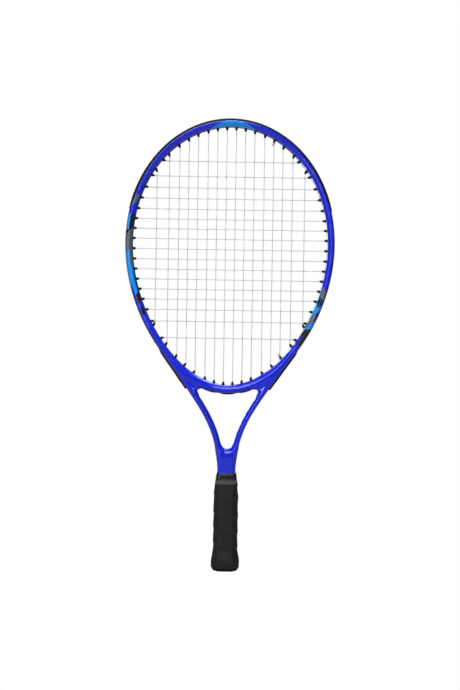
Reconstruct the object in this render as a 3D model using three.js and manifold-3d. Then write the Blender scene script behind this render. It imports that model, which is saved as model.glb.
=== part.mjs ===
// Junior tennis racket, 585 mm long, as separate pieces. Millimetres: +Z runs up the racket's long
// axis from the flat butt end, X lies across the string bed, and Y goes through it (front is -Y).
import * as THREE from 'three';
import { mergeVertices } from 'three/addons/utils/BufferGeometryUtils.js';
import Module from 'manifold-3d';

const wasm = await Module();
wasm.setup();

// ---------------------------------------------------------------- driving dimensions
const GAP = 0.3; // between pieces that touch on the real racket
const FAR = 60; // past every edge of the handle, for blocks that cut it

// The hoop's centre line is an egg:
// x = halfWidth cos t (1 + egg sin t + flat sin^2 t), z = centre + halfHeight sin t.
const HOOP = { halfWidth: 130.3, halfHeight: 172.1, centre: 407, egg: 0.098, flat: -0.039, steps: 64 };
const TUBE = { halfWidth: 4.7, halfDepth: 10.5, edgeInset: 3.3, edgeDepth: 4.5 };
const ARM = { width: 8.4, joinAngle: -0.726, joinPull: [34.9, 206.9], footPull: [16.9, 190.7], steps: 10 };
const SHAFT = { halfWidth: 11.4, top: 132, foot: 110 };
const SPIGOT = { halfWidth: 10, halfDepth: 8.3, bottom: 3.8 };
const THROAT = {
  floor: 156.4, floorRadius: 7, cornerStart: 226, bridgeHalf: 30, bridgeDrop: 6.3,
  grooveReach: 0.31, stripReach: 0.295,
};
const BRIDGE = { wedgeTop: 272 };

const GROOVE = { depth: 3.6, halfWidth: 3.5 };
const STRIP = { floor: 1.4, railWidth: 1.2, railRise: 0.2, tailRise: 1.7, tailShare: 0.724, tailTop: 284 };
const BUMPER = { endAngle: 0.344, proud: 1.2 };
const GROMMET = { radius: 1.6, bore: 1.1, nub: 3.6 };
const STRING = { radius: 0.65, lift: 0.8, bed: -0.95, sides: 6 };
// How far a hole turns from the string's line, 0, to the wall's normal, 1: most beside the bridge.
const HOLE_TURN = { besideBridge: 1, besideBridgeReach: 60, other: 0.5 };
const MAIN_X = [6, 18, 30, 43, 55, 67, 80, 96]; // on both sides of the middle
const CROSS_Z = [
  529.5, 510, 495, 481, 467.2, 454.2, 441.5, 428.6, 415.3, 402, 389, 376, 363, 350, 336.5, 321.5, 300,
];

const GRIP = { thickness: 1.8, bottom: 2.6, top: 117.3, tapeBottom: 112, tape: 0.3 };
// Outer faces of the wrapped handle: height, half width, half depth, and the flat share of each face.
const GRIP_PROFILE = [
  [2.6, 16.6, 14.7, 0.57], [5, 18.2, 16.3, 0.57], [12, 18.4, 16.5, 0.57], [18, 17.2, 15.4, 0.57],
  [24, 16, 14.2, 0.57], [30, 15.75, 13.9, 0.57], [96, 15.75, 13.9, 0.57], [104, 15.1, 13.5, 0.65],
  [112, 14.65, 13.2, 0.74], [117.3, 13.9, 12.9, 0.76],
];
const PALLET = { bottom: 3.6, sleeveTop: 32.3, sleeveHalfWidth: 11.9, sleeveHalfDepth: 9.9 };
const CAP = { floor: 3.3, top: 32, foot: [[0, 14.6, 12.8], [2.3, 16.6, 14.7]] }; // foot as in the profile
const STAPLE = { half: 4, wire: 0.9, thickness: 0.4, height: 27, reach: 2.4 };
const COLLAR_GAP = 0.35; // between the collar's bore and the shaft
const COLLAR_PROFILE = [
  [117.6, 13.95, 13, 0.76], [121, 13.6, 12.7, 0.76], [124, 12.9, 12, 0.76], [126, 12.35, 11.4, 0.76],
];

// ---------------------------------------------------------------- materials
function paint(color, roughness, metalness = 0) {
  return new THREE.MeshStandardMaterial({ color, roughness, metalness });
}
const LACQUER = () => paint(0x1c2ec8, 0.22);
const NYLON = () => paint(0x151517, 0.5);
const FOAM = () => paint(0x3a3a3c, 0.9);
const TAPE_GRIP = () => paint(0x2b2b2e, 0.75);
const RUBBER = () => paint(0x0d0d0e, 0.25);
const STEEL = () => paint(0xb8bcc0, 0.35, 1);
const GUT = () => paint(0xd9dbd8, 0.4);

// ---------------------------------------------------------------- solids
function toSolid(geometry) {
  let bare = geometry.index ? geometry.clone() : geometry;
  bare.deleteAttribute('normal');
  bare.deleteAttribute('uv');
  bare = mergeVertices(bare, 1e-4);
  return new wasm.Manifold(new wasm.Mesh({
    numProp: 3,
    vertProperties: new Float32Array(bare.attributes.position.array),
    triVerts: Uint32Array.from(bare.index.array),
  }));
}

function toGeometry(solid) {
  const mesh = solid.getMesh();
  const geometry = new THREE.BufferGeometry();
  geometry.setAttribute('position', new THREE.BufferAttribute(new Float32Array(mesh.vertProperties), 3));
  geometry.setIndex(new THREE.BufferAttribute(new Uint32Array(mesh.triVerts), 1));
  geometry.computeVertexNormals();
  return geometry;
}

function join(solids) {
  return solids.reduce((all, next) => all.add(next));
}

// A closed body through rings of points; loop joins the last ring to the first instead of capping the ends.
function loft(rings, loop = false) {
  const count = rings[0].length;
  const position = rings.flat().flat();
  const index = [];
  const last = loop ? rings.length : rings.length - 1;
  for (let r = 0; r < last; r += 1) {
    const low = r * count;
    const high = ((r + 1) % rings.length) * count;
    for (let i = 0; i < count; i += 1) {
      const j = (i + 1) % count;
      index.push(low + i, low + j, high + j, low + i, high + j, high + i);
    }
  }
  if (!loop) {
    const cap = THREE.ShapeUtils.triangulateShape(flatten(rings[0]), []);
    const lid = THREE.ShapeUtils.triangulateShape(flatten(rings.at(-1)), []);
    const top = (rings.length - 1) * count;
    cap.forEach(([a, b, c]) => index.push(a, c, b));
    lid.forEach(([a, b, c]) => index.push(top + a, top + b, top + c));
  }
  const geometry = new THREE.BufferGeometry();
  geometry.setAttribute('position', new THREE.Float32BufferAttribute(position, 3));
  geometry.setIndex(index);
  return facingOut(geometry);
}

// A planar ring's points in its own plane, turned anticlockwise like the side faces expect.
function flatten(ring) {
  const points = ring.map((p) => new THREE.Vector3(...p));
  const origin = points[0];
  const normal = new THREE.Vector3();
  points.forEach((p, i) => normal.add(p.clone().cross(points[(i + 1) % points.length])));
  normal.normalize();
  const u = points[1].clone().sub(origin).normalize();
  const v = normal.clone().cross(u);
  return points.map((p) => {
    const d = p.clone().sub(origin);
    return new THREE.Vector2(d.dot(u), d.dot(v));
  });
}

function facingOut(geometry) {
  const p = geometry.attributes.position;
  const index = geometry.index.array;
  const corner = (k) => new THREE.Vector3().fromBufferAttribute(p, index[k]);
  let volume = 0;
  for (let i = 0; i < index.length; i += 3) {
    volume += corner(i).dot(corner(i + 1).cross(corner(i + 2)));
  }
  if (volume < 0) {
    for (let i = 0; i < index.length; i += 3) [index[i + 1], index[i + 2]] = [index[i + 2], index[i + 1]];
  }
  return geometry;
}

// A flat outline in the X-Z plane, given thickness along Y, with its long edges rounded off if asked.
function plate(outline, holes, halfDepth, edge = null) {
  const shape = new THREE.Shape(outline.map(([x, z]) => new THREE.Vector2(x, z)));
  holes.forEach((hole) => shape.holes.push(new THREE.Path(hole.map(([x, z]) => new THREE.Vector2(x, z)))));
  const thick = edge ? halfDepth - edge.depth : halfDepth;
  const geometry = new THREE.ExtrudeGeometry(shape, {
    depth: 2 * thick,
    steps: 1,
    bevelEnabled: Boolean(edge),
    bevelThickness: edge ? edge.depth : 0,
    bevelSize: edge ? edge.inset : 0,
    bevelOffset: edge ? -edge.inset : 0,
    bevelSegments: 2,
  });
  geometry.translate(0, 0, -thick);
  geometry.rotateX(Math.PI / 2);
  return toSolid(geometry);
}

function block(halfX, halfY, low, high, x = 0, y = 0) {
  const geometry = new THREE.BoxGeometry(2 * halfX, 2 * halfY, high - low);
  geometry.translate(x, y, (low + high) / 2);
  return toSolid(geometry);
}

// A section of [out, across] pairs carried along stations; the section may change from one to the next.
function sweep(stations, sectionAt) {
  const rings = stations.map((s) => sectionAt(s).map(([n, y]) => [s.x + n * s.nx, y, s.z + n * s.nz]));
  return toSolid(loft(rings));
}

// A hexagonal rod between two points [x, z] at one height y.
function rod(from, to, y, radius) {
  return toSolid(loft(cordRings([from, to], y, radius)));
}

// Rings of a thin round cord through planar points, mitred at its bends.
function cordRings(points, y, radius) {
  const sides = STRING.sides;
  return points.map((point, i) => {
    const before = direction(points[Math.max(i - 1, 0)], points[Math.max(i, 1)]);
    const after = direction(points[Math.min(i, points.length - 2)], points[Math.min(i + 1, points.length - 1)]);
    const along = unit([before[0] + after[0], before[1] + after[1]]);
    const stretch = 1 / (along[0] * before[0] + along[1] * before[1]);
    return Array.from({ length: sides }, (_, k) => {
      const angle = ((k + 0.5) * 2 * Math.PI) / sides;
      const out = radius * Math.cos(angle) * stretch;
      return [point[0] + out * along[1], y + radius * Math.sin(angle), point[1] - out * along[0]];
    });
  });
}

function direction(a, b) {
  return unit([b[0] - a[0], b[1] - a[1]]);
}

function unit([x, z]) {
  const length = Math.hypot(x, z);
  return [x / length, z / length];
}

function lerp(a, b, share) {
  return a + (b - a) * share;
}

// ---------------------------------------------------------------- lines of the frame in the X-Z plane
function hoopCentre(t) {
  const s = Math.sin(t);
  const x = HOOP.halfWidth * Math.cos(t) * (1 + HOOP.egg * s + HOOP.flat * s * s);
  return [x, HOOP.centre + HOOP.halfHeight * s];
}

// A station on the hoop's centre line moved outward, with its outward normal.
function hoopStation(t, out = 0) {
  const [x, z] = hoopCentre(t);
  const [tx, tz] = direction(hoopCentre(t - 1e-4), hoopCentre(t + 1e-4));
  return { x: x + out * tz, z: z - out * tx, nx: tz, nz: -tx };
}

const armCurve = new THREE.CubicBezierCurve(
  new THREE.Vector2(SHAFT.halfWidth, SHAFT.top),
  new THREE.Vector2(...ARM.footPull),
  new THREE.Vector2(...ARM.joinPull),
  new THREE.Vector2(hoopStation(ARM.joinAngle, TUBE.halfWidth).x, hoopStation(ARM.joinAngle, TUBE.halfWidth).z),
);

function armStation(share, out = 0) {
  const p = armCurve.getPoint(share);
  const d = armCurve.getTangent(share);
  return { x: p.x + out * d.y, z: p.y - out * d.x, nx: d.y, nz: -d.x };
}

const HOOP_STEP = (2 * Math.PI) / HOOP.steps;
const hoopAngles = Array.from({ length: HOOP.steps }, (_, k) => -Math.PI / 2 + k * HOOP_STEP);
const armShares = [...Array.from({ length: ARM.steps }, (_, k) => k / ARM.steps), STRIP.tailShare]
  .sort((a, b) => a - b);

function mirror(stations) {
  return stations.map((s) => ({ x: -s.x, z: s.z, nx: -s.nx, nz: s.nz })).reverse();
}

// The racket's outer line, up the right arm, over the hoop and down the left arm.
const rimAngles = [...hoopAngles, BUMPER.endAngle].sort((a, b) => a - b);
const rightRim = [
  ...armShares.map((share) => armStation(share)),
  armStation(1),
  ...rimAngles.filter((t) => t > ARM.joinAngle + 0.04 && t < Math.PI / 2 - 1e-6)
    .map((t) => hoopStation(t, TUBE.halfWidth)),
];
const rim = [...rightRim, hoopStation(Math.PI / 2, TUBE.halfWidth), ...mirror(rightRim)];

// The bridge's underside, from right to left, facing down, as far as an angle from the middle.
function bridgeLine(reach) {
  const inner = [-2, -1, 0, 1, 2].map((k) => k * HOOP_STEP);
  return [reach, ...inner.reverse(), -reach].map((turn) => hoopStation(-Math.PI / 2 + turn, THROAT.bridgeDrop));
}
const underside = bridgeLine(THROAT.grooveReach);

function shifted(stations, out) {
  return stations.map((s) => [s.x + out * s.nx, s.z + out * s.nz]);
}

// Where the ray from a point leaves through a line of stations moved outward.
function exit(from, way, stations, out) {
  const line = shifted(stations, out);
  for (let i = 0; i + 1 < line.length; i += 1) {
    const [ax, az] = line[i];
    const ex = line[i + 1][0] - ax;
    const ez = line[i + 1][1] - az;
    const cross = way[0] * ez - way[1] * ex;
    const along = ((ax - from[0]) * ez - (az - from[1]) * ex) / cross;
    const share = ((ax - from[0]) * way[1] - (az - from[1]) * way[0]) / cross;
    if (along > 0 && share >= 0 && share <= 1) return [from[0] + along * way[0], from[1] + along * way[1]];
  }
  throw new Error(`no way out from ${from}`);
}

// ---------------------------------------------------------------- string holes
const innerLine = hoopAngles.concat(hoopAngles[0] + 2 * Math.PI).map((t) => hoopStation(t, -TUBE.halfWidth));

// A hole for one string end. It starts at the nub's tip, where the straight string arrives, and leaves through
// the outer groove: straight down through the bridge, else turned towards the wall's normal.
function makeHole(coordinate, isMain, side) {
  const tipLine = -TUBE.halfWidth - GROMMET.nub;
  const miss = (t) => hoopStation(t, tipLine)[isMain ? 'x' : 'z'] - coordinate;
  let [low, high] = [-Math.PI / 2, Math.PI / 2];
  if (isMain) [low, high] = side > 0 ? [0, Math.PI] : [-Math.PI, 0];
  for (let step = 0; step < 50; step += 1) {
    const middle = (low + high) / 2;
    if (miss(low) * miss(middle) <= 0) high = middle;
    else low = middle;
  }
  const here = hoopStation(low, tipLine);
  const flip = isMain ? 1 : side;
  const tip = [here.x * flip, here.z];
  const normal = [here.nx * flip, here.nz];
  const straight = isMain ? [0, side] : [side, 0];
  const bottomMain = isMain && side < 0;
  const throughBridge = bottomMain && Math.abs(coordinate) <= THROAT.bridgeHalf;
  const besideBridge = bottomMain && Math.abs(coordinate) < HOLE_TURN.besideBridgeReach;
  const turn = throughBridge ? 0 : HOLE_TURN[besideBridge ? 'besideBridge' : 'other'];
  const way = unit([lerp(straight[0], normal[0], turn), lerp(straight[1], normal[1], turn)]);
  const line = throughBridge ? underside : rim;
  return {
    way,
    line,
    tip,
    y: isMain ? STRING.lift : -STRING.lift,
    wall: exit(tip, way, innerLine, 0),
    root: exit(tip, way, line, -GROOVE.depth + GAP),
    floor: exit(tip, way, line, -GROOVE.depth + GAP + STRIP.floor),
    bed: exit(tip, way, line, STRING.bed),
  };
}

const mainOrder = [...MAIN_X].reverse().map((x) => -x).concat(MAIN_X);
const mainHoles = mainOrder.map((x) => ({ top: makeHole(x, true, 1), bottom: makeHole(x, true, -1) }));
const crossHoles = CROSS_Z.map((z) => ({ left: makeHole(z, false, -1), right: makeHole(z, false, 1) }));
const allHoles = [...mainHoles, ...crossHoles].flatMap((pair) => Object.values(pair));

function beyond(point, way, distance) {
  return [point[0] + way[0] * distance, point[1] + way[1] * distance];
}

// The clearance hole through the tube wall, from inside the hoop to the groove.
function clearance(hole) {
  const gap = GAP / Math.cos(Math.PI / STRING.sides);
  const start = beyond(hole.wall, hole.way, -6);
  return rod(start, beyond(hole.root, hole.way, 1), hole.y, GROMMET.radius + gap);
}

function barrel(hole) {
  return rod(hole.tip, beyond(hole.root, hole.way, 0.6), hole.y, GROMMET.radius);
}

function bore(hole) {
  return rod(beyond(hole.tip, hole.way, -2), beyond(hole.floor, hole.way, 2), hole.y, GROMMET.bore);
}

// ---------------------------------------------------------------- frame tube and throat bridge
function throatOutline() {
  const circle = [-60, -30, 0].map((degrees) => {
    const angle = (degrees * Math.PI) / 180;
    return [THROAT.floorRadius * Math.cos(angle), THROAT.floor + THROAT.floorRadius * (1 + Math.sin(angle))];
  });
  const inner = Array.from({ length: 24 }, (_, k) => armStation((k + 1) / 24, -ARM.width))
    .filter((s) => s.z > THROAT.floor + THROAT.floorRadius + 3 && s.z < THROAT.cornerStart)
    .filter((s, i, all) => i % 2 === 0 || i === all.length - 1)
    .map((s) => [s.x, s.z]);
  const start = inner.at(-1);
  const under = shifted(underside, 0).filter(([x]) => x > 0 && x < THROAT.bridgeHalf);
  const end = under[0];
  const corner = new THREE.QuadraticBezierCurve(
    new THREE.Vector2(...start),
    new THREE.Vector2(start[0] + 5.5, end[1] + 1.5),
    new THREE.Vector2(...end),
  ).getPoints(5).slice(1, -1).map((p) => [p.x, p.y]);
  const right = [...circle, ...inner, ...corner, ...under];
  const left = right.map(([x, z]) => [-x, z]).reverse();
  const crown = hoopStation(-Math.PI / 2, THROAT.bridgeDrop);
  return [[0, THROAT.floor], ...right, [crown.x, crown.z], ...left];
}

function wholeFrame() {
  const foot = [[SHAFT.halfWidth, SHAFT.foot - 2 * TUBE.edgeInset]];
  const right = [...foot, ...shifted(rightRim, 0)];
  const top = hoopStation(Math.PI / 2, TUBE.halfWidth);
  const outline = [...right, [top.x, top.z], ...right.map(([x, z]) => [-x, z]).reverse()];
  const hoopHole = innerLine.slice(0, -1).map((s) => [s.x, s.z]);
  const edge = { inset: TUBE.edgeInset, depth: TUBE.edgeDepth };
  const body = plate(outline, [hoopHole, throatOutline()], TUBE.halfDepth, edge);
  const trimmed = body.subtract(block(FAR, FAR, 0, SHAFT.foot));
  return trimmed.add(octagonBar(SPIGOT.bottom, SHAFT.foot + 1, SPIGOT.halfWidth, SPIGOT.halfDepth));
}

// The space between the two arms, up to where the bridge's ends thin out.
function bridgeZone(shrink) {
  const stations = Array.from({ length: 40 }, (_, k) => armStation((k + 1) / 40, -ARM.width - shrink))
    .filter((s) => s.z > 205 && s.z < BRIDGE.wedgeTop - 1);
  const right = [...stations.map((s) => [s.x, s.z]), [stations.at(-1).x + 0.7, BRIDGE.wedgeTop - shrink]];
  return plate([...right, ...right.map(([x, z]) => [-x, z]).reverse()], [], 2 * TUBE.halfDepth);
}

const tailBottom = armStation(STRIP.tailShare).z;
const stripRim = rim.filter((s) => s.z > tailBottom - 1e-6);
function grooveSection() {
  const { depth, halfWidth } = GROOVE;
  return [[-depth, -halfWidth], [depth, -halfWidth], [depth, halfWidth], [-depth, halfWidth]];
}

function makeFrame() {
  const grooves = sweep(stripRim, grooveSection).add(sweep(underside, grooveSection));
  const cut = wholeFrame().subtract(grooves).subtract(join(allHoles.map(clearance)));
  return {
    tube: cut.subtract(bridgeZone(0)),
    bridge: cut.intersect(bridgeZone(GAP)),
  };
}

// ---------------------------------------------------------------- grommet strips and bumper guard
const STRIP_HALF = GROOVE.halfWidth - GAP;
const FLOOR_LOW = -GROOVE.depth + GAP;
const FLOOR_HIGH = FLOOR_LOW + STRIP.floor;

function channel(rise) {
  const wall = STRIP_HALF - STRIP.railWidth;
  return [
    [FLOOR_LOW, -STRIP_HALF], [rise, -STRIP_HALF], [rise, -wall], [FLOOR_HIGH, -wall],
    [FLOOR_HIGH, wall], [rise, wall], [rise, STRIP_HALF], [FLOOR_LOW, STRIP_HALF],
  ];
}

// Rails stand proud along the arm and sink level with the tube along the hoop.
function sideSection(station) {
  return channel(station.z < STRIP.tailTop ? STRIP.tailRise : STRIP.railRise);
}

function withGrommets(base, holes) {
  return base.add(join(holes.map(barrel))).subtract(join(holes.map(bore)));
}

const bumperEnd = hoopStation(BUMPER.endAngle, TUBE.halfWidth).z;
const STRIP_END = BUMPER.endAngle - 0.003; // leaves the gap under the bumper's end
const isBumperHole = (hole) => hole.line === rim && hole.root[1] > bumperEnd;

function sideStrip(side) {
  const right = stripRim.filter((s) => s.x > 0 && s.z < bumperEnd - 0.5)
    .concat(hoopStation(STRIP_END, TUBE.halfWidth));
  const stations = side > 0 ? right : mirror(right);
  const holes = allHoles.filter((h) => h.line === rim && !isBumperHole(h) && h.root[0] * side > 0);
  return withGrommets(sweep(stations, sideSection), holes);
}

function bridgeStrip() {
  const stations = bridgeLine(THROAT.stripReach);
  const holes = allHoles.filter((h) => h.line === underside);
  return withGrommets(sweep(stations, () => channel(STRIP.railRise + 1)), holes);
}

function bumperGuard() {
  const out = BUMPER.proud;
  const wall = STRIP_HALF - STRIP.railWidth;
  const half = [
    [FLOOR_HIGH, wall], [out, wall], [out, 6.4], [0.6, 8.6], [-0.7, 10.4], [-0.95, 9.9],
    [-0.05, 8.1], [GAP, 6.2], [GAP, STRIP_HALF], [FLOOR_LOW, STRIP_HALF],
  ];
  const section = [...half, ...half.map(([n, y]) => [n, -y]).reverse()];
  const stations = rim.filter((s) => s.z > bumperEnd - 1e-6);
  return withGrommets(sweep(stations, () => section), allHoles.filter(isBumperHole));
}

// ---------------------------------------------------------------- strings
// One end of a string: out of the bed, through the grommet and into the channel.
function lead(hole) {
  return [beyond(hole.tip, hole.way, -0.8), hole.bed];
}

// The corners of the channel that a loop follows between two holes.
function loopCorners(from, to) {
  const way = direction(from.bed, to.bed);
  const length = Math.hypot(to.bed[0] - from.bed[0], to.bed[1] - from.bed[1]);
  const place = ([x, z]) => (x - from.bed[0]) * way[0] + (z - from.bed[1]) * way[1];
  const aside = ([x, z]) => Math.abs((x - from.bed[0]) * way[1] - (z - from.bed[1]) * way[0]);
  return shifted(from.line, STRING.bed)
    .filter((p) => place(p) > 1.2 && place(p) < length - 1.2 && aside(p) < 3)
    .sort((a, b) => place(a) - place(b));
}

// A string laid back and forth: each run goes from its first hole to its second, then loops outside to the next.
function makeString(runs, y, radius) {
  const points = [];
  runs.forEach(([from, to], i) => {
    const start = lead(from);
    const finish = lead(to);
    if (i === 0) points.push(beyond(from.tip, from.way, -2.2), start[0]);
    else points.push(start[1], start[0]);
    points.push(finish[0]);
    if (i < runs.length - 1) points.push(finish[1], ...loopCorners(to, runs[i + 1][0]));
    else points.push(beyond(to.tip, to.way, -2.2));
  });
  const rounded = points.flatMap((point, i) => soften(points, point, i));
  return loft(cordRings(rounded, y, radius));
}

// A bend sharper than about 60 degrees becomes two softer ones.
function soften(points, point, i) {
  if (i === 0 || i === points.length - 1) return [point];
  const before = direction(points[i - 1], point);
  const after = direction(point, points[i + 1]);
  const sharp = before[0] * after[0] + before[1] * after[1] < 0.5;
  return sharp ? [beyond(point, before, -0.7), beyond(point, after, 0.7)] : [point];
}

// Every second run goes back the other way.
function backAndForth(pairs, first, second) {
  return pairs.map((pair, i) => (i % 2 === 0 ? [pair[first], pair[second]] : [pair[second], pair[first]]));
}
const mainRuns = backAndForth(mainHoles, 'bottom', 'top');
const crossRuns = backAndForth(crossHoles, 'left', 'right');

// ---------------------------------------------------------------- handle
function octagon(z, halfWidth, halfDepth, flat = GRIP_PROFILE[0][3]) {
  const w = halfWidth;
  const d = halfDepth;
  const fw = w * flat;
  const fd = d * flat;
  const right = [[fw, -d, z], [w, -fd, z], [w, fd, z], [fw, d, z]];
  return [...right, ...right.map(([x, y]) => [-x, -y, z])];
}

function octagonBar(low, high, halfWidth, halfDepth) {
  return toSolid(loft([octagon(low, halfWidth, halfDepth), octagon(high, halfWidth, halfDepth)]));
}

// The wrapped handle's outer half sizes at a height, pushed inward.
function gripSize(z, inward) {
  const i = Math.max(1, GRIP_PROFILE.findIndex(([height]) => height >= z));
  const [z0, w0, d0, f0] = GRIP_PROFILE[i - 1];
  const [z1, w1, d1, f1] = GRIP_PROFILE[i];
  const share = (z - z0) / (z1 - z0);
  return [z, lerp(w0, w1, share) - inward, lerp(d0, d1, share) - inward, lerp(f0, f1, share)];
}

function levels(low, high) {
  return [low, ...GRIP_PROFILE.map(([z]) => z).filter((z) => z > low + 0.5 && z < high - 0.5), high];
}

function sleeve(outer, inner) {
  const rings = [...outer, ...[...inner].reverse()].map((size) => octagon(...size));
  return toSolid(loft(rings, true));
}

function gripWrap() {
  const body = levels(GRIP.bottom, GRIP.tapeBottom - 0.4);
  const neck = [GRIP.tapeBottom - 0.3, GRIP.top];
  const outer = [...body.map((z) => gripSize(z, 0)), ...neck.map((z) => gripSize(z, GRIP.tape + GAP))];
  return sleeve(outer, levels(GRIP.bottom, GRIP.top).map((z) => gripSize(z, GRIP.thickness)));
}

function finishingTape() {
  const heights = [GRIP.tapeBottom, GRIP.top];
  return sleeve(heights.map((z) => gripSize(z, 0)), heights.map((z) => gripSize(z, GRIP.tape)));
}

const CORE = GRIP.thickness + GAP; // from the wrap's outside to the core under it

// A bar lying across the handle at the staples' height, between two distances from the handle's middle plane.
function stapleBar(halfLength, near, far, grow, x, face) {
  const half = STAPLE.wire / 2 + grow;
  const low = STAPLE.height - half;
  return block(halfLength + grow, (far - near) / 2, low, low + 2 * half, x, face * (far + near) / 2);
}

const STAPLE_LEG = STAPLE.half - STAPLE.wire / 2;
const STAPLE_FACE = gripSize(STAPLE.height, CORE)[2]; // the cap's outer face at the staples

function stapleLegs(near, far, grow, face) {
  return [-1, 1].map((side) => stapleBar(STAPLE.wire / 2, near, far, grow, side * STAPLE_LEG, face));
}

function stapleHoles() {
  return [-1, 1].flatMap((face) => stapleLegs(STAPLE_FACE - STAPLE.reach - GAP, STAPLE_FACE, GAP, face));
}

// The recess that the staple's crown lies in.
function staplePocket(face) {
  return stapleBar(STAPLE.half, STAPLE_FACE - STAPLE.thickness - 2 * GAP, STAPLE_FACE + 1, GAP, 0, face);
}

function staple(face) {
  const outside = STAPLE_FACE - GAP;
  const crown = stapleBar(STAPLE.half, outside - STAPLE.thickness, outside, 0, 0, face);
  return join([crown, ...stapleLegs(STAPLE_FACE - STAPLE.reach, outside, 0, face)]);
}

function buttCap() {
  const outer = [...CAP.foot, ...levels(GRIP.bottom, CAP.top).map((z) => gripSize(z, CORE))];
  const body = toSolid(loft(outer.map((size) => octagon(...size))));
  const socket = octagonBar(CAP.floor, CAP.top + 2, PALLET.sleeveHalfWidth + GAP, PALLET.sleeveHalfDepth + GAP);
  return body.subtract(socket).subtract(join([...stapleHoles(), staplePocket(1), staplePocket(-1)]));
}

// One foam half of the handle, moulded round the spigot: face -1 is the front, +1 the back.
function pallet(face) {
  const top = SHAFT.foot - GAP;
  const grip = levels(PALLET.sleeveTop, top).map((z) => octagon(...gripSize(z, CORE)));
  const foot = [PALLET.bottom, PALLET.sleeveTop]
    .map((z) => octagon(z, PALLET.sleeveHalfWidth, PALLET.sleeveHalfDepth));
  const body = toSolid(loft([...foot, ...grip]));
  const cavity = octagonBar(0, SHAFT.top, SPIGOT.halfWidth + GAP, SPIGOT.halfDepth + GAP);
  const half = block(FAR, FAR / 2, 0, SHAFT.top, 0, face * (FAR / 2 + GAP / 2));
  return body.subtract(cavity).subtract(join(stapleHoles())).intersect(half);
}

function collar() {
  const bore = [SHAFT.halfWidth + COLLAR_GAP, TUBE.halfDepth + COLLAR_GAP];
  const ends = [COLLAR_PROFILE[0], COLLAR_PROFILE.at(-1)];
  return sleeve(COLLAR_PROFILE, ends.map(([z, , , flat]) => [z, ...bore, flat]));
}

// ---------------------------------------------------------------- assembly
const racket = new THREE.Group();

function addPart(name, shape, material) {
  const geometry = shape.isBufferGeometry ? shape : toGeometry(shape);
  const mesh = new THREE.Mesh(geometry, material);
  mesh.name = name;
  racket.add(mesh);
}

const frame = makeFrame();
addPart('frame_tube', frame.tube, LACQUER());
addPart('throat_bridge', frame.bridge, LACQUER());
addPart('bumper_guard', bumperGuard(), NYLON());
addPart('grommet_strip_left', sideStrip(-1), NYLON());
addPart('grommet_strip_right', sideStrip(1), NYLON());
addPart('grommet_strip_bridge', bridgeStrip(), NYLON());
addPart('main_string', makeString(mainRuns, STRING.lift, STRING.radius), GUT());
addPart('cross_string', makeString(crossRuns, -STRING.lift, STRING.radius), GUT());
addPart('handle_pallet_front', pallet(-1), FOAM());
addPart('handle_pallet_back', pallet(1), FOAM());
addPart('butt_cap', buttCap(), NYLON());
addPart('butt_cap_staple_front', staple(-1), STEEL());
addPart('butt_cap_staple_back', staple(1), STEEL());
addPart('grip_wrap', gripWrap(), TAPE_GRIP());
addPart('grip_finishing_tape', finishingTape(), TAPE_GRIP());
addPart('grip_collar', collar(), RUBBER());

export default racket;
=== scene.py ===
"""Junior tennis racket: the looks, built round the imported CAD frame.

Lengths are in millimetres until a mesh or a light is made, which are in metres.
"""
import math

import bpy
import numpy as np
from mathutils import Matrix, Vector


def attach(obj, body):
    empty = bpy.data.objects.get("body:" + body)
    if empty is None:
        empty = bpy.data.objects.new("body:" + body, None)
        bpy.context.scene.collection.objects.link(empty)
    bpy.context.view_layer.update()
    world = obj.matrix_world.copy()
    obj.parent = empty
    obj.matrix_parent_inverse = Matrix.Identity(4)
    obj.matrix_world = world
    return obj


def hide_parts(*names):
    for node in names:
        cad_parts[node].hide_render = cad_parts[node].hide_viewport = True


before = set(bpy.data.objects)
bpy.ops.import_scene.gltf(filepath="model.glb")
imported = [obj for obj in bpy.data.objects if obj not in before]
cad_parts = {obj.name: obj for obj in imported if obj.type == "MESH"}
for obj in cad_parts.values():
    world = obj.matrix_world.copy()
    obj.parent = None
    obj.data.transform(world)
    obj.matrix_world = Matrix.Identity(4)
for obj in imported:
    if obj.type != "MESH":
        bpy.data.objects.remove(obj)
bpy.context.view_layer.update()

MM = 0.001
CAP_SHARE = 0.02

# ---- driving dimensions, as in the CAD model
HOOP_HALF_WIDTH, HOOP_HALF_HEIGHT, HOOP_CENTRE, HOOP_EGG, HOOP_FLAT = 130.3, 172.1, 407.0, 0.098, -0.039
TUBE_HALF, TUBE_DEPTH = 4.7, 10.5
ARM_WIDTH, ARM_JOIN = 8.4, -0.726
ARM_PULLS = (16.9, 190.7), (34.9, 206.9)
SHAFT_HALF, SHAFT_TOP, SHAFT_FOOT = 11.4, 132.0, 110.0
SPIGOT_HALF, SPIGOT_DEPTH, SPIGOT_BOTTOM = 10.0, 8.3, 3.8
THROAT_FLOOR, THROAT_RADIUS, WEB_CORNER = 156.4, 7.0, 226.0
BRIDGE_DROP, BRIDGE_HALF = 6.3, 30.0
BUMPER_END, TAIL_SHARE = 0.344, 0.724
NUB = 3.6
STRING_RADIUS, STRING_BED = 0.65, -0.95
MAIN_X = (6, 18, 30, 43, 55, 67, 80, 96)
CROSS_Z = (529.5, 510, 495, 481, 467.2, 454.2, 441.5, 428.6, 415.3, 402, 389, 376, 363, 350, 336.5,
           321.5, 300)


# ---- camera, light and floor
def make_camera():
    """Square on to the racket, leaning so that the racket's top tips a little to the right of the picture."""
    lean, distance = math.radians(0.93), 1.15
    view_height, right, height = 0.897, 0.0021, 0.2915
    data = bpy.data.cameras.new("camera")
    data.lens = data.sensor_width * distance / view_height
    camera = bpy.data.objects.new("camera", data)
    bpy.context.collection.objects.link(camera)
    s, c = math.sin(lean), math.cos(lean)
    camera.matrix_world = Matrix(((c, -s, 0, right), (0, 0, -1, -distance), (s, c, 0, height), (0, 0, 0, 1)))
    bpy.context.scene.camera = camera


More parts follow.
